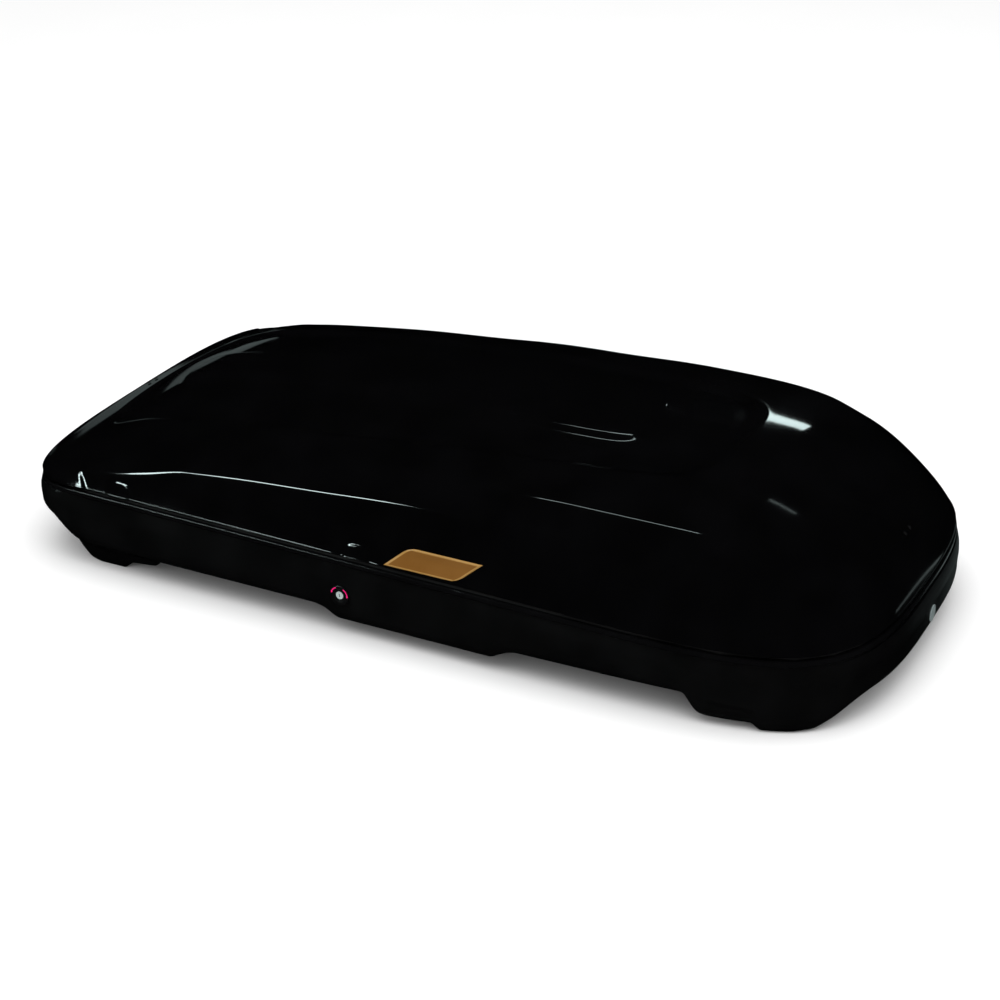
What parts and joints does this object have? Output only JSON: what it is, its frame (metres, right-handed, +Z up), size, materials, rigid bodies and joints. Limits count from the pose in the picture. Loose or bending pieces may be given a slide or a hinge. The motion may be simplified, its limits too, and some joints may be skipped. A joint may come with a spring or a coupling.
{
  "type": "roof cargo box",
  "caption": "Long low roof cargo box: glossy domed lid hinged along one side over a textured tray with tub feet, bar channels, central locking, folding lid stays and quick clamps.",
  "frame": {"origin": "centre of the footprint, on the plane the two tub feet stand on", "axes": "+X towards the nose, -Y towards the side with the lock, +Z up"},
  "size_m": [1.859, 0.9218, 0.382],
  "materials": {
    "lid_gloss": "high gloss",
    "tray_matte": "fine grained",
    "rubber": "matt",
    "badge": "satin bronze",
    "silver": "satin",
    "grey_plastic": "matt",
    "knob_plastic": "matt",
    "arm_paint": "satin",
    "steel": "zinc plated"
  },
  "bodies": {
    "tray": {"base_tray": "tray_matte", "rim_seal": "rubber", "lock_bezel": "grey_plastic", "nose_disc": "silver", "hinge_1_tray_leaf": "steel", "hinge_2_tray_leaf": "steel", "hinge_3_tray_leaf": "steel", "hinge_1_pin": "steel", "hinge_2_pin": "steel", "hinge_3_pin": "steel", "stay_rear_tray_bracket": "steel", "stay_front_tray_bracket": "steel", "stay_rear_foot_rivet": "steel", "stay_front_foot_rivet": "steel", "bar_guide_1": "grey_plastic", "bar_guide_2": "grey_plastic", "bar_guide_3": "grey_plastic", "clamp_rear_near_body": "grey_plastic", "clamp_rear_far_body": "grey_plastic", "clamp_front_near_body": "grey_plastic", "clamp_front_far_body": "grey_plastic"},
    "lid": {"lid_shell": "lid_gloss", "side_badge": "badge", "plug_rear_1": "rubber", "plug_rear_2": "rubber", "plug_nose_1": "rubber", "plug_nose_2": "rubber", "hinge_1_lid_leaf": "steel", "hinge_2_lid_leaf": "steel", "hinge_3_lid_leaf": "steel", "striker_1": "steel", "striker_2": "steel", "striker_3": "steel", "stay_rear_lid_bracket": "steel", "stay_front_lid_bracket": "steel", "stay_rear_top_rivet": "steel", "stay_front_top_rivet": "steel"},
    "stay_rear_lower": {"stay_rear_lower_arm": "arm_paint", "stay_rear_elbow_rivet": "steel"},
    "stay_rear_upper": {"stay_rear_upper_arm": "arm_paint"},
    "stay_front_lower": {"stay_front_lower_arm": "arm_paint", "stay_front_elbow_rivet": "steel"},
    "stay_front_upper": {"stay_front_upper_arm": "arm_paint"},
    "latch": {"latch_bar": "steel", "latch_pin": "steel"},
    "lock": {"lock_cylinder": "silver", "lock_fork": "steel"},
    "clamp_rear_near_jaw_front": {"clamp_rear_near_jaw_front": "steel"},
    "clamp_rear_near_jaw_rear": {"clamp_rear_near_jaw_rear": "steel"},
    "clamp_rear_near_knob": {"clamp_rear_near_knob": "knob_plastic"},
    "clamp_rear_far_jaw_front": {"clamp_rear_far_jaw_front": "steel"},
    "clamp_rear_far_jaw_rear": {"clamp_rear_far_jaw_rear": "steel"},
    "clamp_rear_far_knob": {"clamp_rear_far_knob": "knob_plastic"},
    "clamp_front_near_jaw_front": {"clamp_front_near_jaw_front": "steel"},
    "clamp_front_near_jaw_rear": {"clamp_front_near_jaw_rear": "steel"},
    "clamp_front_near_knob": {"clamp_front_near_knob": "knob_plastic"},
    "clamp_front_far_jaw_front": {"clamp_front_far_jaw_front": "steel"},
    "clamp_front_far_jaw_rear": {"clamp_front_far_jaw_rear": "steel"},
    "clamp_front_far_knob": {"clamp_front_far_knob": "knob_plastic"}
  },
  "joints": [
    {"name": "lid_hinge", "type": "hinge", "parent": "tray", "child": "lid", "pos_m": [0, 0.42, 0.145], "axis": [-1, 0, 0], "range_deg": [0, 40]},
    {"name": "stay_rear_foot", "type": "hinge", "parent": "tray", "child": "stay_rear_lower", "pos_m": [-0.627, 0.22, 0.11], "axis": [-1, 0, 0], "range_deg": [0, 40]},
    {"name": "stay_rear_elbow", "type": "hinge", "parent": "stay_rear_lower", "child": "stay_rear_upper", "pos_m": [-0.627, -0.08, 0.2], "axis": [-1, 0, 0], "range_deg": [-40, 0]},
    {"name": "stay_front_foot", "type": "hinge", "parent": "tray", "child": "stay_front_lower", "pos_m": [0.563, 0.22, 0.11], "axis": [-1, 0, 0], "range_deg": [0, 40]},
    {"name": "stay_front_elbow", "type": "hinge", "parent": "stay_front_lower", "child": "stay_front_upper", "pos_m": [0.563, -0.08, 0.2], "axis": [-1, 0, 0], "range_deg": [-40, 0]},
    {"name": "latch_slide", "type": "slide", "parent": "tray", "child": "latch", "axis": [1, 0, 0], "range_m": [0, 0.018]},
    {"name": "lock_turn", "type": "hinge", "parent": "tray", "child": "lock", "pos_m": [-0.122, -0.4586, 0.09], "axis": [0, 1, 0], "range_deg": [0, 90]},
    {"name": "clamp_rear_near_front_slide", "type": "slide", "parent": "tray", "child": "clamp_rear_near_jaw_front", "axis": [-1, 0, 0], "range_m": [0, 0.016]},
    {"name": "clamp_rear_near_rear_slide", "type": "slide", "parent": "tray", "child": "clamp_rear_near_jaw_rear", "axis": [1, 0, 0], "range_m": [0, 0.016]},
    {"name": "clamp_rear_near_knob_turn", "type": "hinge", "parent": "tray", "child": "clamp_rear_near_knob", "pos_m": [-0.377, -0.3, 0.0594], "axis": [0, 0, 1], "range_deg": [0, 180]},
    {"name": "clamp_rear_far_front_slide", "type": "slide", "parent": "tray", "child": "clamp_rear_far_jaw_front", "axis": [-1, 0, 0], "range_m": [0, 0.016]},
    {"name": "clamp_rear_far_rear_slide", "type": "slide", "parent": "tray", "child": "clamp_rear_far_jaw_rear", "axis": [1, 0, 0], "range_m": [0, 0.016]},
    {"name": "clamp_rear_far_knob_turn", "type": "hinge", "parent": "tray", "child": "clamp_rear_far_knob", "pos_m": [-0.377, 0.3, 0.0594], "axis": [0, 0, 1], "range_deg": [0, 180]},
    {"name": "clamp_front_near_front_slide", "type": "slide", "parent": "tray", "child": "clamp_front_near_jaw_front", "axis": [-1, 0, 0], "range_m": [0, 0.016]},
    {"name": "clamp_front_near_rear_slide", "type": "slide", "parent": "tray", "child": "clamp_front_near_jaw_rear", "axis": [1, 0, 0], "range_m": [0, 0.016]},
    {"name": "clamp_front_near_knob_turn", "type": "hinge", "parent": "tray", "child": "clamp_front_near_knob", "pos_m": [0.433, -0.3, 0.0614], "axis": [0, 0, 1], "range_deg": [0, 180]},
    {"name": "clamp_front_far_front_slide", "type": "slide", "parent": "tray", "child": "clamp_front_far_jaw_front", "axis": [-1, 0, 0], "range_m": [0, 0.016]},
    {"name": "clamp_front_far_rear_slide", "type": "slide", "parent": "tray", "child": "clamp_front_far_jaw_rear", "axis": [1, 0, 0], "range_m": [0, 0.016]},
    {"name": "clamp_front_far_knob_turn", "type": "hinge", "parent": "tray", "child": "clamp_front_far_knob", "pos_m": [0.433, 0.3, 0.0614], "axis": [0, 0, 1], "range_deg": [0, 180]}
  ],
  "couplings": [
    {"joint": "stay_rear_foot", "follows": "lid_hinge", "ratio": 1},
    {"joint": "stay_rear_elbow", "follows": "lid_hinge", "ratio": -1},
    {"joint": "stay_front_foot", "follows": "lid_hinge", "ratio": 1},
    {"joint": "stay_front_elbow", "follows": "lid_hinge", "ratio": -1},
    {"joint": "lock_turn", "follows": "latch_slide", "rad_per_m": 87.2},
    {"joint": "clamp_rear_near_rear_slide", "follows": "clamp_rear_near_front_slide", "ratio": 1},
    {"joint": "clamp_rear_near_knob_turn", "follows": "clamp_rear_near_front_slide", "rad_per_m": 196.3},
    {"joint": "clamp_rear_far_rear_slide", "follows": "clamp_rear_far_front_slide", "ratio": 1},
    {"joint": "clamp_rear_far_knob_turn", "follows": "clamp_rear_far_front_slide", "rad_per_m": 196.3},
    {"joint": "clamp_front_near_rear_slide", "follows": "clamp_front_near_front_slide", "ratio": 1},
    {"joint": "clamp_front_near_knob_turn", "follows": "clamp_front_near_front_slide", "rad_per_m": 196.3},
    {"joint": "clamp_front_far_rear_slide", "follows": "clamp_front_far_front_slide", "ratio": 1},
    {"joint": "clamp_front_far_knob_turn", "follows": "clamp_front_far_front_slide", "rad_per_m": 196.3}
  ]
}
